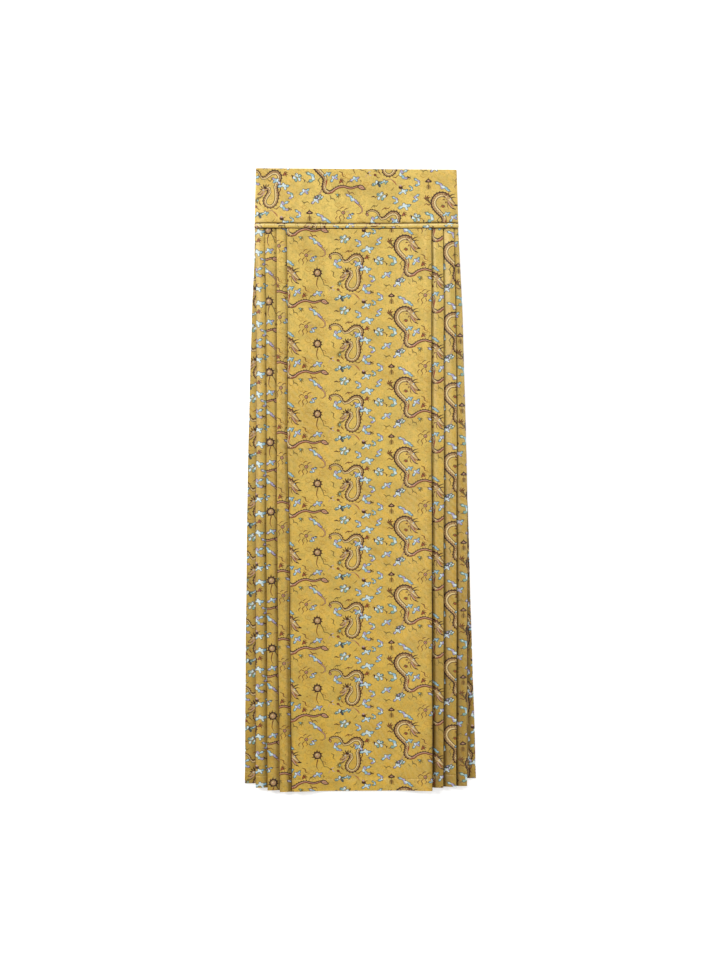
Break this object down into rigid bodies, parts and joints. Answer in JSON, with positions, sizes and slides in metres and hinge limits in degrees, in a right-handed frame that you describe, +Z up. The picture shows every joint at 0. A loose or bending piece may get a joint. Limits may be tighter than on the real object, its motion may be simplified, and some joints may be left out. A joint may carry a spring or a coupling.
{
  "type": "horse-face skirt",
  "caption": "Long pleated wrap-style skirt laid flat: smooth middle panel front and back, knife pleats at both sides, deep straight waistband with a raised strip under it.",
  "frame": {"origin": "bottom centre of the skirt's box, on the surface it lies on", "axes": "+Y toward the waistband, +Z up out of the front panel, +X to the right seen from the front"},
  "size_m": [0.371, 0.998, 0.011],
  "materials": {
    "brocade": "golden yellow satin brocade, soft sheen",
    "band_brocade": "golden yellow satin brocade over a stiffener"
  },
  "bodies": {
    "root": {"front_horse_face_panel": "brocade", "back_horse_face_panel": "brocade", "left_pleats": "brocade", "right_pleats": "brocade", "waistband_front": "band_brocade", "waistband_back": "band_brocade", "waist_strip_front": "band_brocade", "waist_strip_back": "band_brocade"}
  },
  "joints": []
}
